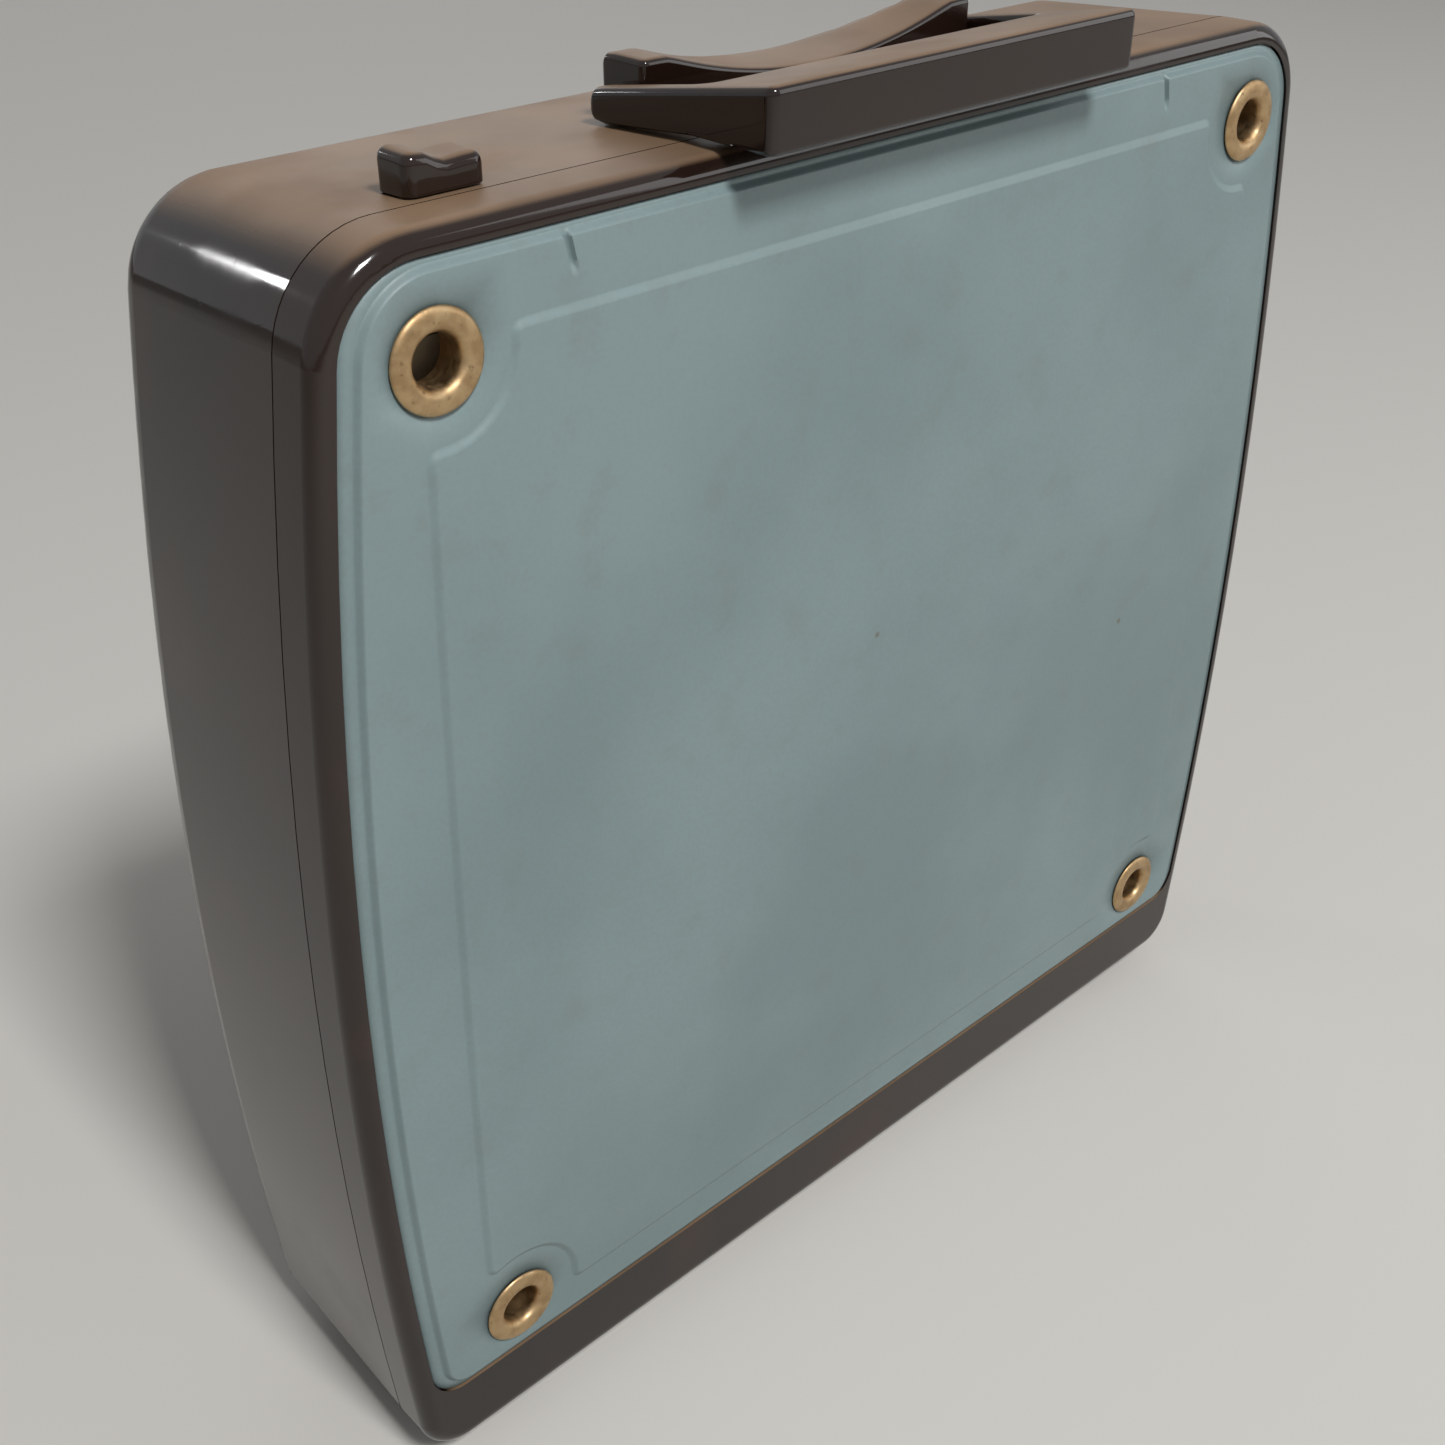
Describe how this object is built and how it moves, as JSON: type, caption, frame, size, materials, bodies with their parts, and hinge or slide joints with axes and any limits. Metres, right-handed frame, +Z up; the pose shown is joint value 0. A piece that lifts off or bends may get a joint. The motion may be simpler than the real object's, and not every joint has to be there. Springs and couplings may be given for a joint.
{
  "type": "lunch box",
  "caption": "Upright rigid lunch box with bowed sides, a pressed steel front panel on hollow brass eyelets, a bottom-hinged lid, a fold-flat carry handle and a thumb slide lock.",
  "frame": {"origin": "on the floor, in the middle of the overall width and depth", "axes": "+Z up, -Y out of the lid's front panel, +X to the right seen from the front"},
  "size_m": [0.2476, 0.07, 0.2513],
  "materials": {
    "dark_shell": "dark brown ABS, moulded with a high polish and handled",
    "liner_plastic": "off-white polypropylene, moulded, satin",
    "soft_rubber": "black moulded rubber",
    "blue_enamel": "grey-blue stoving enamel on pressed steel, satin",
    "aged_brass": "pressed brass, aged and rubbed",
    "bright_steel": "zinc-plated steel"
  },
  "bodies": {
    "case": {"rear_shell": "dark_shell", "case_liner": "liner_plastic", "rim_seal": "soft_rubber", "handle_bracket": "dark_shell", "handle_pins": "bright_steel", "bracket_plate": "bright_steel", "bracket_screws": "bright_steel", "latch_cover": "liner_plastic", "cover_screws": "bright_steel", "case_hinge_leaf": "bright_steel", "hinge_pin": "bright_steel", "case_leaf_rivets": "bright_steel", "rubber_feet": "soft_rubber"},
    "lid": {"lid_shell": "dark_shell", "lid_liner": "liner_plastic", "front_panel": "blue_enamel", "panel_eyelets": "aged_brass", "eyelet_washers": "aged_brass", "lid_keepers": "bright_steel", "keeper_rivets": "bright_steel", "lid_hinge_leaf": "bright_steel", "lid_leaf_rivets": "bright_steel"},
    "handle": {"handle_grip": "dark_shell"},
    "lock": {"lock_slider": "dark_shell", "slider_screw": "bright_steel", "latch_bar": "bright_steel"}
  },
  "joints": [
    {"name": "lid_hinge", "type": "hinge", "parent": "case", "child": "lid", "pos_m": [0, -0.015, 0.0027], "axis": [1, 0, 0], "range_deg": [0, 100]},
    {"name": "handle_pivot", "type": "hinge", "parent": "case", "child": "handle", "pos_m": [0, 0.004, 0.2421], "axis": [-1, 0, 0], "range_deg": [0, 95]},
    {"name": "lock_slide", "type": "slide", "parent": "case", "child": "lock", "axis": [1, 0, 0], "range_m": [0, 0.006]}
  ]
}
